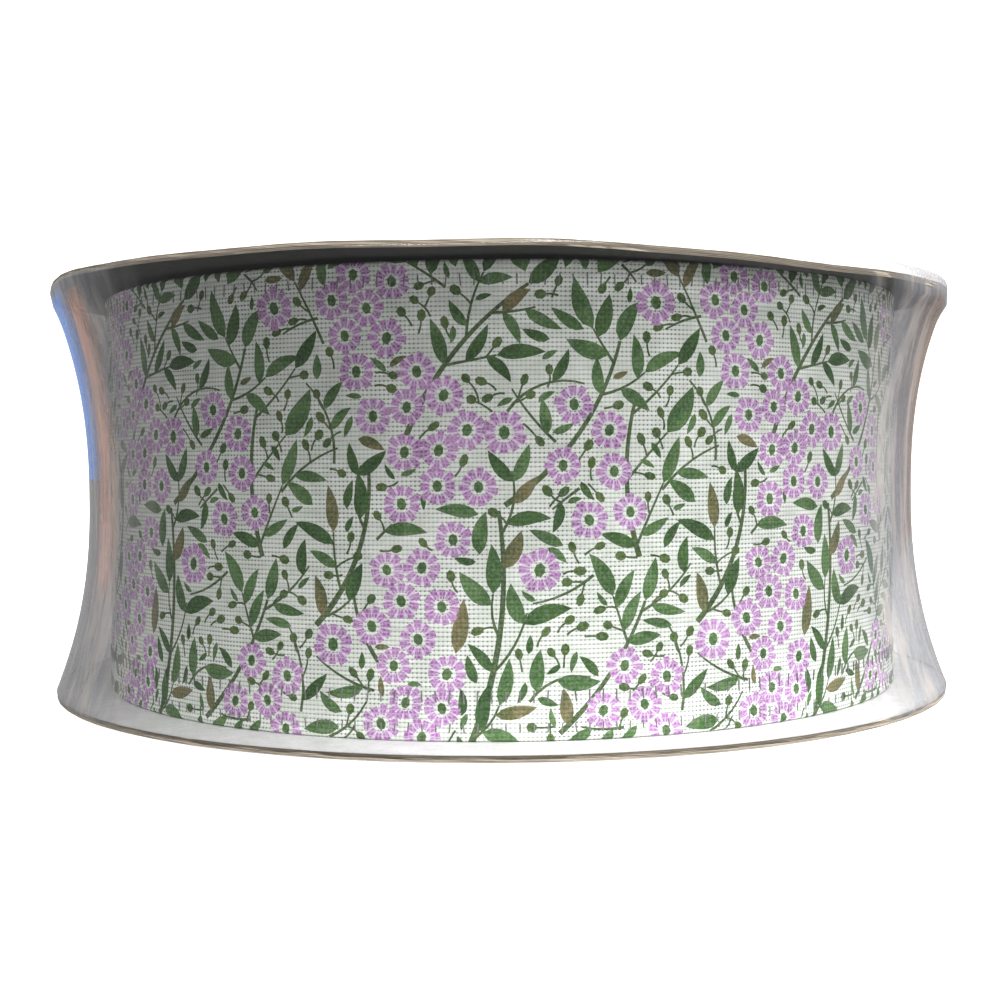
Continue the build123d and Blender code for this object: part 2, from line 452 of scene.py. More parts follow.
def add_daisy(layout, x, y, reach, petals, turn):
    """A ring of notched petals on a paler ring, round a white eye with a green centre."""
    layout.add("blush", oval_outline(x, y, turn, 1.86 * reach, 1.86 * reach, 10))
    for k in range(petals):
        a = turn + 2 * math.pi * k / petals
        long = reach * (1 + 0.07 * math.sin(k * 2.4 + x))
        outline = []
        for share, side in PETAL:
            outline.append(polar(x, y, share * long, a + side * (1 + 0.15 * math.sin(k * 3.7 + y))))
        layout.shapes.append(("petal", outline))
    layout.shapes.append(("eye", oval_outline(x, y, turn, 0.92 * reach, 0.92 * reach, 8)))
    lean = math.pi / 2 + 0.4 * math.sin(turn * 7)
    layout.shapes.append(("centre", oval_outline(x, y, lean, 0.66 * reach, 0.52 * reach, 7)))


def try_leaf(layout, x, y, heading, length, kind=None):
    """Adds a leaf where there is room for it, and says whether there was."""
    rnd = layout.random
    width = length * rnd.uniform(0.31, 0.42)
    bend = rnd.uniform(0.15, 0.6) * rnd.choice((-1, 1))
    wide = leaf_outline(x, y, heading, length, width, bend, 0.28)
    start = polar(x, y, 0.9, heading)
    ahead = leaf_outline(*start, heading, length - 0.9, width, bend, 0.22)
    if layout.share_taken(ahead) > 0.05:
        return False
    if kind is None:
        kind = "olive_leaf" if rnd.random() < 0.06 else rnd.choice(("deep_leaf", "leaf", "leaf"))
    layout.add(kind, leaf_outline(x, y, heading, length, width, bend), wide)
    return True


def add_sprig(layout, x, y, heading, length, bend, leaf, gap, stem_width=0.42, attached=False):
    """A stem with leaves down both sides and one at its tip. It stops where it would run into something."""
    rnd = layout.random
    path, headings = curve_path(x, y, heading, length, bend)
    reach = 1
    while reach < len(path) and (not layout.is_taken(*path[reach]) or (attached and reach < 2)):
        reach += 1
    path, headings = path[:reach], headings[:reach]
    if len(path) < 3:
        return False
    tip = path[-1]
    made = 1 if try_leaf(layout, *tip, headings[-1], leaf * rnd.uniform(0.85, 1.15)) else 0
    spacing = max(1, round(gap / 1.5))
    side = rnd.choice((-1, 1))
    for k in range(len(path) - 2, 0, -spacing):
        side = -side
        for turn in (side, -side) if rnd.random() < 0.45 else (side,):
            size, way = leaf * rnd.uniform(0.7, 1.1), headings[k] + turn * rnd.uniform(0.55, 0.95)
            if rnd.random() < 0.9:
                made += try_leaf(layout, *path[k], way, size) or add_bud(layout, *path[k], way, 1.8)
            else:
                stalk = rnd.uniform(1.8, 3.4)
                made += add_bud(layout, *path[k], way, stalk) or try_leaf(layout, *path[k], way, size)
    if made > 1:
        layout.add("stem", stem_outline(path, stem_width, stem_width * 0.6))
    return made > 1


def add_bud(layout, x, y, heading, stalk):
    """A round bud on a thin stalk."""
    rnd = layout.random
    path, headings = curve_path(x, y, heading, stalk, rnd.uniform(-0.9, 0.9), 1.2)
    bx, by = polar(*path[-1], 0.6, headings[-1])
    length, width = rnd.uniform(1.4, 1.9), rnd.uniform(1.05, 1.35)
    if layout.share_taken(oval_outline(bx, by, headings[-1], length + 0.5, width + 0.5)) > 0.02:
        return False
    layout.add("bud", oval_outline(bx, by, headings[-1], length, width, 7),
               oval_outline(bx, by, headings[-1], length + 0.6, width + 0.6))
    layout.add("stem", stem_outline(path, 0.3, 0.24))
    return True


# Drifts of daisies: where each starts, which way it runs, how long it is and how it bends
DRIFTS = (
    (7.5, 61.5, -1.35, 33.0, 0.5),
    (17.0, 30.0, -1.9, 30.0, 0.5),
    (36.0, 44.0, -1.0, 17.0, -0.7),
    (42.5, 9.5, -1.2, 12.0, 0.5),
)
LONE_DAISIES = ((27.0, 40.5), (31.5, 22.5), (47.5, 57.5), (3.5, 12.5))

# Main stems: where each starts, its heading, length, bend and width
MAIN_STEMS = (
    (1.0, 15.0, 0.75, 24.0, 0.9, 0.85),
    (22.0, -1.0, 1.15, 32.0, 0.55, 0.95),
    (27.0, 31.0, 0.55, 27.0, 0.75, 0.8),
    (34.0, 1.0, 0.7, 21.0, 0.5, 0.75),
    (14.0, 40.0, 1.2, 26.0, -0.6, 0.8),
    (45.0, 24.0, 1.9, 22.0, -0.6, 0.8),
    (12.0, 8.0, 2.4, 13.0, -0.7, 0.7),
)

# Sprigs that fill what is left: how many are tried, their lengths, their leaves and the leaves' gap
SPRIGS = ((600, (9, 16), (5.6, 7.6), 3.0), (1000, (5, 9), (4.4, 6.2), 3.0), (1400, (3, 5), (3.2, 4.8), 2.4))


def drift_daisies(layout):
    """Daisies scattered along each drift, two or three abreast, none over another."""
    rnd = layout.random
    placed = []

    def fits(x, y):
        if not EDGE_MARGIN < y < WIDTH - EDGE_MARGIN:
            return False
        for px, py in placed:
            dx = abs(x - px) % REPEAT
            if math.hypot(min(dx, REPEAT - dx), y - py) < DAISY_SPACING:
                return False
        return True

    placed.extend(LONE_DAISIES)
    for x, y, heading, length, bend in DRIFTS:
        path, headings = curve_path(x, y, heading, length, bend, 1.2)
        for _ in range(5):
            for (px, py), way in zip(path, headings):
                side = rnd.uniform(-DRIFT_HALF_WIDTH, DRIFT_HALF_WIDTH)
                cx, cy = polar(px, py, side, way + math.pi / 2)
                if fits(cx, cy):
                    placed.append((cx, cy))
    for x, y in placed:
        reach = rnd.uniform(2.35, 2.6) if (x, y) not in LONE_DAISIES else 2.85
        add_daisy(layout, x, y, reach, rnd.choice((10, 10, 11)), rnd.uniform(0, 1))


def print_layout():
    """One repeat: daisies first, then main stems with their sprays, then sprigs and buds in what is left."""
    layout = Layout(11)
    rnd = layout.random
    drift_daisies(layout)
    for x, y, heading, length, bend, width in MAIN_STEMS:
        path, headings = curve_path(x, y, heading, length, bend)
        layout.shapes.insert(0, ("stem", stem_outline(path, width, width * 0.55)))
        side = 1
        for k in range(1, len(path) - 1, 3):
            side = -side
            if layout.is_taken(*path[k]):
                continue
            way = headings[k] + side * rnd.uniform(0.6, 1.0)
            add_sprig(layout, *path[k], way, rnd.uniform(5, 10), side * rnd.uniform(-1.2, 0.2),
                      rnd.uniform(5.2, 7.2), 3.0, attached=True)
            try_leaf(layout, *path[k], headings[k] - side * rnd.uniform(0.5, 0.9), rnd.uniform(4.8, 6.6))
        try_leaf(layout, *path[-1], headings[-1], 6.0)
        rows, columns = layout.cells(stem_outline(path, width + 0.5, width))
        layout.taken[rows, columns] = True
    for tries, reach, leaf, gap in SPRIGS:
        for _ in range(tries):
            x, y = rnd.uniform(0, REPEAT), rnd.uniform(-1, WIDTH)
            heading = rnd.gauss(math.pi / 2, 0.9)
            if not layout.is_taken(x, y):
                length, bend = rnd.uniform(*reach), rnd.uniform(-1.5, 1.5)
                add_sprig(layout, x, y, heading, length, bend, rnd.uniform(*leaf), gap)
    for _ in range(2600):
        x, y = rnd.uniform(0, REPEAT), rnd.uniform(0, WIDTH)
        if not layout.is_taken(x, y):
            add_bud(layout, x, y, rnd.uniform(0, 2 * math.pi), rnd.uniform(1.0, 2.6))
    for _ in range(1500):
        x, y = rnd.uniform(0, REPEAT), rnd.uniform(0, WIDTH)
        if not layout.is_taken(x, y):
            try_leaf(layout, x, y, rnd.uniform(0, 2 * math.pi), rnd.uniform(2.0, 3.2))
    return layout.shapes


# Each ink: its two tones, the colour of the gaps between its threads (painted shade for the white and green
# inks, pale undyed thread for the lilac ones), how far the gaps along, the gaps across and the holes show
# (the holes as painted near-black shade), and how much undyed thread shows
CLOTH_WHITE = (linear(230, 235, 225), linear(248, 251, 244))
# The grey and green gap colours are painted shade in the hollows between threads; the lilac one is pale
# undyed thread
PAINTED_SHADE_GREY_GAP, PAINTED_SHADE_GREEN_GAP, LILAC_GAP = linear(148, 154, 147), linear(40, 58, 30), linear(220, 206, 222)
BARE_STRENGTH, GREEN_STRENGTH, LILAC_STRENGTH = (0.38, 0.1, 0.72), (0.2, 0.1, 0.25), (0.45, 0.35, 0.4)
INKS = {
    "ground": (CLOTH_WHITE, PAINTED_SHADE_GREY_GAP, BARE_STRENGTH, 0.0),
    "stem": ((linear(58, 84, 40), linear(88, 110, 62)), PAINTED_SHADE_GREEN_GAP, GREEN_STRENGTH, 0.14),
    "leaf": ((linear(60, 100, 44), linear(98, 136, 78)), PAINTED_SHADE_GREEN_GAP, GREEN_STRENGTH, 0.14),
    "deep_leaf": ((linear(44, 82, 32), linear(74, 112, 54)), PAINTED_SHADE_GREEN_GAP, GREEN_STRENGTH, 0.1),
    "olive_leaf": ((linear(88, 96, 48), linear(134, 122, 78)), PAINTED_SHADE_GREEN_GAP, GREEN_STRENGTH, 0.16),
    "bud": ((linear(60, 90, 36), linear(94, 118, 56)), PAINTED_SHADE_GREEN_GAP, GREEN_STRENGTH, 0.12),
    "blush": ((linear(222, 194, 228), linear(240, 222, 243)), LILAC_GAP, LILAC_STRENGTH, 0.2),
    "petal": ((linear(154, 78, 160), linear(192, 122, 196)), LILAC_GAP, LILAC_STRENGTH, 0.12),
    "eye": (CLOTH_WHITE, PAINTED_SHADE_GREY_GAP, BARE_STRENGTH, 0.0),
    "centre": ((linear(56, 92, 42), linear(90, 124, 68)), PAINTED_SHADE_GREEN_GAP, GREEN_STRENGTH, 0.14),
}
LAYERS = tuple(INKS)


def triangulated_repeat():
    """The repeat cut into triangles, each with the topmost ink that covers it."""
    points, edges, faces, kinds = [], [], [], []

    def add_face(kind, outline):
        first = len(points)
        points.extend(Vector(point) for point in anticlockwise(outline))
        faces.append(list(range(first, len(points))))
        kinds.append(kind)

    for kind, outline in print_layout():
        xs = [x for x, _ in outline]
        for shift in (-REPEAT, 0, REPEAT):
            if min(xs) + shift < REPEAT and max(xs) + shift > 0:
                add_face(kind, [(x + shift, y) for x, y in outline])
    uprights = 12
    for k in range(uprights + 1):
        x = REPEAT * k / uprights
        points.extend((Vector((x, 0)), Vector((x, WIDTH))))
        edges.append((len(points) - 2, len(points) - 1))
    for level in (0, 0.3, 0.6, 1.0, 1.6, 3.0, 5.5):
        for y in (level, WIDTH - level):
            points.extend((Vector((0, y)), Vector((REPEAT, y))))
            edges.append((len(points) - 2, len(points) - 1))
    found, _, triangles, _, _, owners = delaunay_2d_cdt(points, edges, faces, 0, 1e-5, True)
    kept = []
    for triangle, owner in zip(triangles, owners):
        x = sum(found[k].x for k in triangle) / 3
        y = sum(found[k].y for k in triangle) / 3
        if 0 < x < REPEAT and 0 < y < WIDTH:
            kept.append((triangle, topmost([kinds[k] for k in owner])))
    return found, kept


def anticlockwise(outline):
    """The outline, turned round if it runs clockwise."""
    area = sum(ax * by - bx * ay for (ax, ay), (bx, by) in zip(outline, outline[1:] + outline[:1]))
    return outline if area > 0 else outline[::-1]


def topmost(kinds):
    """The ink on top, of those that cover a place."""
    return max(kinds, key=LAYERS.index) if kinds else "ground"


# ---------------------------------------------------------------- the winding


def wound_place(back, radial=0.0):
    """The place on the ribbon's face this far back from its free end, moved outward by radial."""
    index = HALF_TURNS - 1
    radius = ROLL_RADIUS
    while back > math.pi * radius and index > 0:
        back -= math.pi * radius
        index -= 1
        radius -= TURN_PITCH / 2
    angle = math.pi - back / radius
    sign = -1 if index % 2 else 1
    x = sign * (radius + radial) * math.cos(angle) + (TURN_PITCH / 2 if index % 2 else 0)
    y = sign * (radius + radial) * math.sin(angle)
    turn = TAIL_ANGLE - math.pi
    return x * math.cos(turn) - y * math.sin(turn), x * math.sin(turn) + y * math.cos(turn)


def hem_lift(y):
    """How far the cloth stands out at this height in millimetres, over the wire and the hem."""
    edge = min(y, WIDTH - y)
    wire = WIRE_BULGE * math.exp(-(((edge - WIRE_FROM_EDGE) / WIRE_SPREAD) ** 2))
    hem = HEM_BULGE if edge * MM < HEM_DEPTH else 0.0
    roll = -EDGE_ROLL * max(0.0, ROLLED_WIDTH - edge) / ROLLED_WIDTH
    return (wire + hem + roll) * MM


def plain_mesh(name, places, faces, slots=None):
    """A smooth mesh object from plain lists."""
    mesh = bpy.data.meshes.new(name)
    mesh.from_pydata(places, [], faces)
    if slots is not None:
        mesh.polygons.foreach_set("material_index", slots)
    mesh.polygons.foreach_set("use_smooth", [True] * len(mesh.polygons))
    mesh.validate()
    mesh.update()
    made = bpy.data.objects.new(name, mesh)
    bpy.context.scene.collection.objects.link(made)
    return made


def outer_turn():
    """The ribbon's outer turn, with the print cut into it."""
    found, triangles = triangulated_repeat()
    length = REPEAT * REPEATS
    places, faces, slots, threads = [], [], [], []
    index = {}
    for repeat in range(REPEATS):
        for triangle, kind in triangles:
            corners = []
            for k in triangle:
                x, y = found[k].x + repeat * REPEAT, found[k].y
                key = (round(x * 2000), round(y * 2000))
                if key not in index:
                    index[key] = len(places)
                    back = (length - x) * MM
                    px, py = wound_place(back, hem_lift(y))
                    places.append((px, py, RIBBON_LOW + y * MM))
                    threads.append((x / THREAD_ALONG, y / THREAD_ACROSS))
                corners.append(index[key])
            if len(set(corners)) == 3:
                faces.append(corners)
                slots.append(LAYERS.index(kind))
    made = plain_mesh("printed_ribbon", places, faces, slots)
    for name in LAYERS:
        made.data.materials.append(cloth_material("cloth_" + name, *INKS[name]))
    layer = made.data.uv_layers.new(name="threads")
    for loop in made.data.loops:
        layer.data[loop.index].uv = threads[loop.vertex_index]
    return made


# ---------------------------------------------------------------- geometry node trees


def node_group(name, inputs):
    """An empty geometry tree with a geometry input and output, and named inputs of its own."""
    tree = bpy.data.node_groups.new(name, "GeometryNodeTree")
    tree.interface.new_socket("Geometry", in_out="INPUT", socket_type="NodeSocketGeometry")
    for label, kind, value in inputs:
        item = tree.interface.new_socket(label, in_out="INPUT", socket_type=kind)
        if value is not None:
            item.default_value = value
    tree.interface.new_socket("Geometry", in_out="OUTPUT", socket_type="NodeSocketGeometry")
    return tree


def add_node(tree, kind, settings=None, **inputs):
    """Adds a node to a geometry tree, and gives its sockets their values or links."""
    added = tree.nodes.new(kind)
    for name, value in (settings or {}).items():
        setattr(added, name, value)
    for name, value in inputs.items():
        key = int(name[1:]) if name[0] == "i" and name[1:].isdigit() else name.replace("_", " ")
        if isinstance(value, bpy.types.NodeSocket):
            tree.links.new(value, added.inputs[key])
        else:
            added.inputs[key].default_value = value
    return added


def close_tree(tree, geometry, finish):
    """Ends a tree: its instances made real, and its material set."""
    real = add_node(tree, "GeometryNodeRealizeInstances", Geometry=geometry)
    done = add_node(tree, "GeometryNodeSetMaterial", Geometry=real.outputs[0], Material=finish)
    out = tree.nodes.new("NodeGroupOutput")
    tree.links.new(done.outputs[0], out.inputs[0])
    return tree


def baked(name, tree, values):
    """Runs a tree on an empty mesh, with its inputs set by identifier, and returns a plain mesh object."""
    base = bpy.data.objects.new(name, bpy.data.meshes.new(name))
    bpy.context.scene.collection.objects.link(base)
    modifier = base.modifiers.new("shape", "NODES")
    modifier.node_group = tree
    for item in tree.interface.items_tree:
        if item.item_type == "SOCKET" and item.in_out == "INPUT" and item.name in values:
            modifier[item.identifier] = values[item.name]
    evaluated = base.evaluated_get(bpy.context.evaluated_depsgraph_get())
    mesh = bpy.data.meshes.new_from_object(evaluated)
    base.modifiers.remove(modifier)
    base.data = mesh
    mesh.name = name
    return base


def winding_tree():
    """Turns of a strip: a flat spiral that carries the strip's section, which hangs down from it."""
    tree = node_group(
        "winding",
        [
            ("Turns", "NodeSocketFloat", 27.0),
            ("Inner Radius", "NodeSocketFloat", 0.036),
            ("Outer Radius", "NodeSocketFloat", 0.065),
            ("Start Angle", "NodeSocketFloat", 0.0),
            ("Top", "NodeSocketFloat", 0.064),
            ("Width", "NodeSocketFloat", 0.063),
            ("Finish", "NodeSocketMaterial", None),
        ],
    )
    given = tree.nodes.new("NodeGroupInput").outputs
    spiral = add_node(
        tree, "GeometryNodeCurveSpiral", Resolution=40, Rotations=given["Turns"],
        Start_Radius=given["Inner Radius"], End_Radius=given["Outer Radius"], Height=0.0,
    )
    turned = add_node(tree, "ShaderNodeCombineXYZ", Z=given["Start Angle"])
    lift = add_node(tree, "ShaderNodeCombineXYZ", Z=given["Top"])
    placed = add_node(
        tree, "GeometryNodeTransform", Geometry=spiral.outputs[0], Rotation=turned.outputs[0],
        Translation=lift.outputs[0],
    )
    top = add_node(tree, "ShaderNodeCombineXYZ", Y=given["Width"])
    section = add_node(tree, "GeometryNodeCurvePrimitiveLine", End=top.outputs[0])
    strip = add_node(
        tree, "GeometryNodeCurveToMesh", Curve=placed.outputs[0], Profile_Curve=section.outputs[0]
    )
    return close_tree(tree, strip.outputs[0], given["Finish"])


def stitch_tree():
    """A row of short raised stitches, evenly spaced along a curve that stands upright."""
    tree = node_group(
        "stitch_row",
        [
            ("Path", "NodeSocketObject", None),
            ("Spacing", "NodeSocketFloat", 0.00185),
            ("Length", "NodeSocketFloat", 0.0016),
            ("Thickness", "NodeSocketFloat", 0.0003),
            ("Unevenness", "NodeSocketFloat", 0.25),
            ("Finish", "NodeSocketMaterial", None),
        ],
    )
    given = tree.nodes.new("NodeGroupInput").outputs
    path = add_node(tree, "GeometryNodeObjectInfo", Object=given["Path"])
    points = add_node(
        tree, "GeometryNodeCurveToPoints", {"mode": "LENGTH"},
        Curve=path.outputs["Geometry"], Length=given["Spacing"],
    )
    align = add_node(
        tree, "FunctionNodeAlignRotationToVector", {"axis": "X"}, Vector=points.outputs["Tangent"]
    )
    lean = add_node(tree, "FunctionNodeRandomValue", {"data_type": "FLOAT"}, Seed=5)
    lean.inputs[2].default_value, lean.inputs[3].default_value = -0.12, 0.12
    tilt = add_node(tree, "ShaderNodeCombineXYZ", Y=lean.outputs[1])
    tilted = add_node(
        tree, "FunctionNodeRotateRotation", {"rotation_space": "LOCAL"},
        Rotation=align.outputs[0], Rotate_By=tilt.outputs[0],
    )
    size = add_node(tree, "FunctionNodeRandomValue", {"data_type": "FLOAT"}, Seed=8)
    low = add_node(tree, "ShaderNodeMath", {"operation": "SUBTRACT"}, i0=1.0, i1=given["Unevenness"])
    tree.links.new(low.outputs[0], size.inputs[2])
    size.inputs[3].default_value = 1.0
    tall = add_node(tree, "ShaderNodeMath", {"operation": "MULTIPLY"}, i0=size.outputs[1], i1=given["Length"])
    thread = add_node(
        tree, "GeometryNodeMeshCylinder", Vertices=6, Side_Segments=1, Radius=0.5, Depth=1.0
    )
    scale = add_node(
        tree, "ShaderNodeCombineXYZ", X=given["Thickness"], Y=given["Thickness"], Z=tall.outputs[0]
    )
    placed = add_node(
        tree, "GeometryNodeInstanceOnPoints", Points=points.outputs["Points"],
        Instance=thread.outputs["Mesh"], Rotation=tilted.outputs[0], Scale=scale.outputs[0],
    )
    return close_tree(tree, placed.outputs[0], given["Finish"])


def wound_curve(name, height, radial, start, length, step=2.5 * MM):
    """A poly curve that follows the ribbon's face at one height."""
    data = bpy.data.curves.new(name, "CURVE")
    data.dimensions = "3D"
    spline = data.splines.new("POLY")
    count = round(length / step)
    spline.points.add(count)
    for k in range(count + 1):
        x, y = wound_place(start + length * k / count, radial)
        spline.points[k].co = (x, y, height, 1)
    made = bpy.data.objects.new(name, data)
    bpy.context.scene.collection.objects.link(made)
    return made


# ---------------------------------------------------------------- boards, papers and film


def rim_droop(angle):
    """How far the upper flange's rim is bent down, most of all from its front round to its right."""
    degrees = (math.degrees(angle) + 180) % 360 - 180
    right = 1 / (1 + math.exp(-(degrees + 77) / 4.5)) / (1 + math.exp((degrees - 5) / 8))
    left = math.exp(-(((degrees + 180) % 360 - 8) / 14) ** 2)
    return RIGHT_DROOP * right + LEFT_DROOP * left


def card_lift(angle, radius, sag, droops=False):
    """How far a flange is out of flat: soft waves that grow towards its rim, and its bent rim."""
    reach = max(0.0, (radius - FLAT_RADIUS) / (FLANGE_RADIUS - FLAT_RADIUS))
    waves = (
        0.50 * math.sin(2 * angle + 0.4)
        + 0.30 * math.sin(5 * angle + 1.9)
        + 0.22 * math.sin(9 * angle + 0.3)
        + 0.12 * math.sin(17 * angle + 2.2)
    )
    bent = rim_droop(angle) * reach ** 4 if droops else 0.0
    return sag * reach ** 2 * waves - bent


def revolved(name, section, slots, count, place, closed=True):
    """A ring made by carrying a section round the axis. place(angle, radius, height) moves each point."""
    places, faces, indices = [], [], []
    size = len(section)
    for k in range(count):
        angle = 2 * math.pi * k / count
        places.extend(place(angle, radius, height) for radius, height in section)
    spans = size if closed else size - 1
    for k in range(count):
        here, there = k * size, ((k + 1) % count) * size
        for j in range(spans):
            after = (j + 1) % size
            faces.append((here + j, there + j, there + after, here + after))
            indices.append(slots[j])
    return plain_mesh(name, places, faces, indices)


def card_ring(name, node, sag, finish, edge, plies=0):
    """One layer of a flange. Its section runs anticlockwise, from the bore's foot out to the rim and back."""
    low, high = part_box(node)[0].z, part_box(node)[1].z
    shares = (0.0, 0.25, 0.5, 0.7, 0.84, 0.93, 0.98)
    radii = [BORE_RADIUS + (FLANGE_RADIUS - BORE_RADIUS) * share for share in shares]
    rim = [(FLANGE_RADIUS, low)]
    for k in range(plies):
        foot, top = low + (high - low) * k / plies, low + (high - low) * (k + 1) / plies
        inset = 0.05 * MM * (k % 2)
        rim.append((FLANGE_RADIUS - inset, foot + 0.02 * MM))
        rim.append((FLANGE_RADIUS - inset, top - 0.02 * MM))
        rim.append((FLANGE_RADIUS - 0.09 * MM, top))
    section = [(r, low) for r in radii] + rim + [(FLANGE_RADIUS, high)] + [(r, high) for r in reversed(radii)]

    def place(angle, radius, height):
        fray = 0.0
        if radius > FLANGE_RADIUS - 0.2 * MM:
            fray = 0.06 * MM * math.sin(41 * angle + height * 9000) * math.sin(23 * angle + 1)
        r = radius + fray
        return r * math.cos(angle), r * math.sin(angle), height + card_lift(angle, radius, sag, sag > 0)

    spans = [int(r1 > FLANGE_RADIUS - 0.2 * MM and r2 > FLANGE_RADIUS - 0.2 * MM)
             for (r1, _), (r2, _) in zip(section, section[1:] + section[:1])]
    made = revolved(name, section, spans, 360, place)
    made.data.materials.append(finish)
    made.data.materials.append(edge)
    across = made.data.attributes.new("across", "FLOAT", "POINT")
    for k in range(len(made.data.vertices)):
        across.data[k].value = (section[k % len(section)][1] - low) / (high - low)
    for polygon in made.data.polygons:
        polygon.use_smooth = False
    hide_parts(node)
    return made


def film_profile():
    """The film's section from its upper lap, over both rims, to its lower lap."""
    corner = 1.1 * MM
    rim = FILM_RIM - 0.02 * MM
    top, bottom = FILM_HIGH - corner, FILM_LOW + corner

    def lap(height):
        shares = (0.0, 0.25, 0.5, 0.75, 0.95)
        return [(FILM_LAP_RADIUS + (rim - corner - FILM_LAP_RADIUS) * share, height) for share in shares]

    def bend(height, side):
        angles = [math.pi / 2 * (1 - k / 5) for k in range(6)]
        return [(rim - corner + corner * math.cos(a), height + side * corner * math.sin(a)) for a in angles]

    count = 44
    middle, half = (top + bottom) / 2, (top - bottom) / 2
    drawn_in = []
    for k in range(1, count):
        height = top + (bottom - top) * k / count
        reach = abs(height - middle) / half
        drawn_in.append((FILM_WAIST + (rim - FILM_WAIST) * reach ** 2.3, height))
    return lap(FILM_HIGH) + bend(top, 1) + drawn_in + bend(bottom, -1)[::-1] + lap(FILM_LOW)[::-1]


def film_sleeve(finish):
    """The film: drawn in to a waist, with pleats at its rims, soft creases on its sides and a welded seam."""
    rnd = random.Random(4)
    count = 720

    def creases(number, widths, heights):
        """How far creases at random angles stand out at each step of the way round."""
        made = []
        for _ in range(number):
            made.append((rnd.uniform(0, 2 * math.pi), rnd.uniform(*widths), rnd.uniform(*heights)))
        lifts = []
        for k in range(count):
            angle = 2 * math.pi * k / count
            lift = 0.0
            for centre, width, height in made:
                away = abs((angle - centre + math.pi) % (2 * math.pi) - math.pi) / width
                lift += height * math.exp(-away * away) if away < 3 else 0.0
            lifts.append(lift)
        return lifts

    pleated = creases(90, (0.012, 0.03), (0.25, 1.0))
    folded = creases(26, (0.03, 0.08), (-1, 1))
    seam_angle = math.radians(118)

    def place(angle, radius, height):
        k = round(angle / (2 * math.pi) * count) % count
        from_top, from_base = FILM_HIGH - height, height - FILM_LOW
        near_rim = math.exp(-min(from_top, from_base) / (6 * MM))
        on_side = 1.0 if min(from_top, from_base) > 0.4 * MM else 0.0
        r, z = radius, height
        if on_side:
            r -= 0.22 * MM * pleated[k] * near_rim * (1 - math.exp(-min(from_top, from_base) / (1.5 * MM)))
            drawn = math.sin(math.pi * from_top / (FILM_HIGH - FILM_LOW))
            r += 0.28 * MM * folded[k] * drawn
            seam = (angle - seam_angle) * FLANGE_RADIUS / (0.5 * MM)
            r += 0.25 * MM * math.exp(-seam * seam)
        elif from_top < 1 * MM:
            z += 0.16 * MM * pleated[k] * (FLANGE_RADIUS - radius) / (FLANGE_RADIUS - FILM_LAP_RADIUS)
        upper = max(0.0, min(1.0, 1 - from_top / (14 * MM)))
        if from_top > 1.2 * MM:
            bent = rim_droop(angle)
            z -= bent * math.exp(-(from_top - 1.2 * MM) / (9 * MM))
            r += 0.36 * bent * math.exp(-(((from_top - 2.4 * MM) / (1.6 * MM)) ** 2))
        z += card_lift(angle, min(radius, FLANGE_RADIUS), UPPER_SAG) * upper
        return r * math.cos(angle), r * math.sin(angle), z

    section = film_profile()
    made = revolved("shrink_film", section, [0] * len(section), count, place, closed=False)
    for polygon in made.data.polygons:
        polygon.flip()
    made.data.materials.append(finish)
    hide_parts("film_sleeve")
    return made


# ---------------------------------------------------------------- making the reel

# The camera comes from the front, a little below the upper flange and almost level
CAMERA_AWAY = 257 * MM
CAMERA_HEIGHT = 39 * MM
CAMERA_PITCH = math.radians(-1.86)
CAMERA_ROLL = math.radians(0.44)

camera = bpy.data.objects.new("camera", bpy.data.cameras.new("camera"))
camera.data.lens = 52.65
camera.data.sensor_width = 36
camera.data.clip_start, camera.data.clip_end = 0.005, 20
camera.location = (0, -CAMERA_AWAY, CAMERA_HEIGHT)
camera.rotation_mode = "XYZ"
camera.rotation_euler = (math.pi / 2 + CAMERA_PITCH, CAMERA_ROLL, 0)
bpy.context.scene.collection.objects.link(camera)
bpy.context.scene.camera = camera

# Ribbon
ribbon = outer_turn()
outer_length = REPEAT * REPEATS * MM
turns_left = (HALF_TURNS - 2.1) / 2
inner = baked(
    "inner_turns",
    winding_tree(),
    {
        "Turns": turns_left,
        "Inner Radius": FIRST_TURN_BACK + HEM_THICKNESS,
        "Outer Radius": ROLL_RADIUS - 1.12 * TURN_PITCH,
        "Start Angle": TAIL_ANGLE - 2 * math.pi * (turns_left % 1),
        "Top": RIBBON_HIGH,
        "Width": RIBBON_WIDTH,
        "Finish": ribbon.data.materials[0],
    },
)
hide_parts("ribbon")
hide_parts("ribbon")

hem_thread = mottled_material("hem_thread", linear(92, 102, 88), linear(144, 138, 142), 900, 0.8, 0.00005)
row_tree = stitch_tree()
stitch_pieces = []
for label, height, length in (
    ("upper_hem_stitches", RIBBON_HIGH - 2.6 * MM, 1.7 * MM),
    ("lower_hem_stitches", RIBBON_LOW + 1.8 * MM, 1.3 * MM),
    ("inner_hem_stitches", RIBBON_LOW + 5.9 * MM, 1.8 * MM),
):
    path = wound_curve(label + "_path", height, 0.11 * MM, 2 * MM, outer_length - 8 * MM)
    row = baked(
        label,
        row_tree,
        {"Path": path, "Spacing": 1.85 * MM, "Length": length, "Thickness": 0.2 * MM, "Finish": hem_thread},
    )
    bpy.data.objects.remove(path)
    stitch_pieces.append(row)

# Flanges
board = board_material("grey_board", linear(118, 108, 95), linear(188, 177, 160))
white_lining = mottled_material(
    "white_lining", linear(226, 226, 224), linear(246, 246, 244), 420, 0.7, 0.00004
)
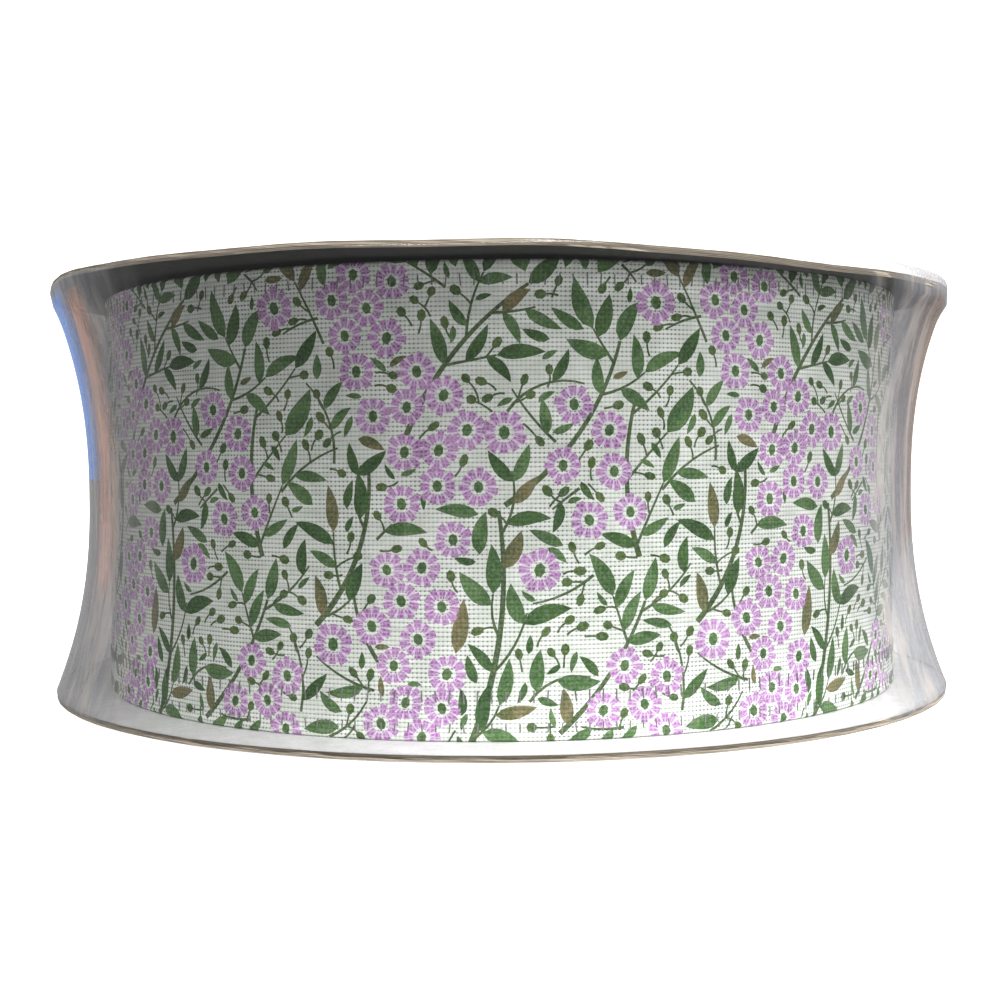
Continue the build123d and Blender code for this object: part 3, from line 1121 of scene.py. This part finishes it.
# Painted shade: the upper flange's inner lining is dark grey where the lower's is white, standing in for the
# shade under the upper flange
painted_shade_lining = mottled_material("painted_shade_lining", linear(58, 58, 57), linear(78, 77, 75), 420, 0.8, 0.00004)
cards = []
for level, sag, lining in (("upper", UPPER_SAG, painted_shade_lining), ("lower", LOWER_SAG, white_lining)):
    flange = level + "_flange_"
    cards.append(card_ring(level + "_board", flange + "board", sag, board, board, 4))
    cards.append(card_ring(level + "_outer_lining", flange + "outer_paper", sag, white_lining, board))
    cards.append(card_ring(level + "_inner_lining", flange + "inner_paper", sag, lining, board))

film = film_sleeve(film_material())

# Finishes of the pieces that keep their CAD shape
glue = mottled_material("hot_melt_glue", linear(222, 206, 160), linear(238, 228, 196), 260, 0.35, 0.0002)
wire = mottled_material(
    "annealed_wire", linear(92, 90, 88), linear(150, 148, 146), 700, 0.42, 0.00003, Metallic=1.0
)
tape = tape_material()
for node, finish in (
    ("core_tube", core_material()),
    ("core_cover", white_lining),
    ("lower_glue_bead", glue),
    ("upper_glue_bead", glue),
    ("lower_edge_wire", wire),
    ("upper_edge_wire", wire),
    ("ribbon_tail_tape", tape),
    ("ribbon_start_tape", tape),
):
    shown = frame["nodes"][node]
    shown.data.materials.clear()
    shown.data.materials.append(finish)

for piece, slot in (
    [(ribbon, "ribbon_cloth"), (inner, "ribbon_cloth"), (film, "film")]
    + [(row, "ribbon_cloth") for row in stitch_pieces]
    + [(card, "greyboard" if "board" in card.name else "white_paper") for card in cards]
):
    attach(piece, "root")


# ---------------------------------------------------------------- floor, lights and surroundings


def pale_floor():
    """A pale floor that curves up into a pale wall a long way behind."""
    section = [(-1.6, 0.0), (1.2, 0.0)]
    for k in range(1, 13):
        a = math.pi / 2 * k / 12
        section.append((1.2 + 0.6 * math.sin(a), 0.6 - 0.6 * math.cos(a)))
    section.append((1.8, 2.4))
    places = [(x, y, z) for y, z in section for x in (-0.95, 0.95)]
    faces = [(2 * k, 2 * k + 1, 2 * k + 3, 2 * k + 2) for k in range(len(section) - 1)]
    made = plain_mesh("floor", places, faces)
    made.data.materials.append(
        mottled_material("pale_floor", linear(248, 248, 248), linear(252, 252, 252), 3.0, 0.9, 0.00001,
                         Emission_Color=(1, 1, 1, 1), Emission_Strength=0.6)
    )
    made.visible_diffuse = made.visible_glossy = False


def studio_card(name, foot, width, height, colour, strength):
    """A coloured card near the reel, facing it, to be seen only in its gloss."""
    along = Vector((-foot[1], foot[0])).normalized() * width / 2
    low, high = foot[2], foot[2] + height
    places = [
        (foot[0] - along.x, foot[1] - along.y, low),
        (foot[0] + along.x, foot[1] + along.y, low),
        (foot[0] + along.x, foot[1] + along.y, high),
        (foot[0] - along.x, foot[1] - along.y, high),
    ]
    made = plain_mesh(name, places, [(0, 1, 2, 3)])
    made.data.materials.append(
        mottled_material(name, colour, colour, 20.0, 0.9, 0.00001,
                         Emission_Color=colour, Emission_Strength=strength)
    )
    made.visible_camera = made.visible_diffuse = made.visible_shadow = made.visible_transmission = False


def area_light(name, place, aim, size, power):
    """A rectangular soft light at place, facing aim."""
    data = bpy.data.lights.new(name, "AREA")
    data.shape = "RECTANGLE"
    data.size, data.size_y = size
    data.energy = power
    made = bpy.data.objects.new(name, data)
    made.location = place
    made.rotation_mode = "QUATERNION"
    made.rotation_quaternion = (Vector(aim) - Vector(place)).to_track_quat("-Z", "Y")
    bpy.context.scene.collection.objects.link(made)
    return made


pale_floor()
world = bpy.data.worlds.new("studio")
world.use_nodes = True
world.node_tree.nodes["Background"].inputs["Color"].default_value = (1, 1, 1, 1)
world.node_tree.nodes["Background"].inputs["Strength"].default_value = 0.45
bpy.context.scene.world = world
middle = (0, 0, 0.033)
area_light("key", (0.42, -0.5, 1.05), middle, (0.8, 0.5), 24.0)
area_light("front_strip", (0.0, -0.8, 0.72), middle, (1.2, 0.12), 8.0)
right_fill = area_light("right_fill", (0.75, -1.0, 0.3), middle, (0.8, 0.5), 7.2)
right_fill.visible_glossy = False
area_light("back_wall", (0, 0.9, 1.5), (0, 1.6, 0.4), (2.0, 0.6), 10.0)
area_light("rim_light", (0.55, 0.45, 0.75), middle, (0.5, 0.3), 9.0)
studio_card("blue_card", (-0.125, 0.075, 0.033), 0.05, 0.036, linear(104, 132, 184), 0.5)
studio_card("peach_card", (-0.151, 0.043, 0.018), 0.013, 0.036, linear(232, 160, 124), 0.9)
studio_card("brown_card", (0.13, 0.075, 0.02), 0.07, 0.045, linear(150, 124, 104), 0.4)

bpy.context.scene.view_settings.view_transform = "Standard"
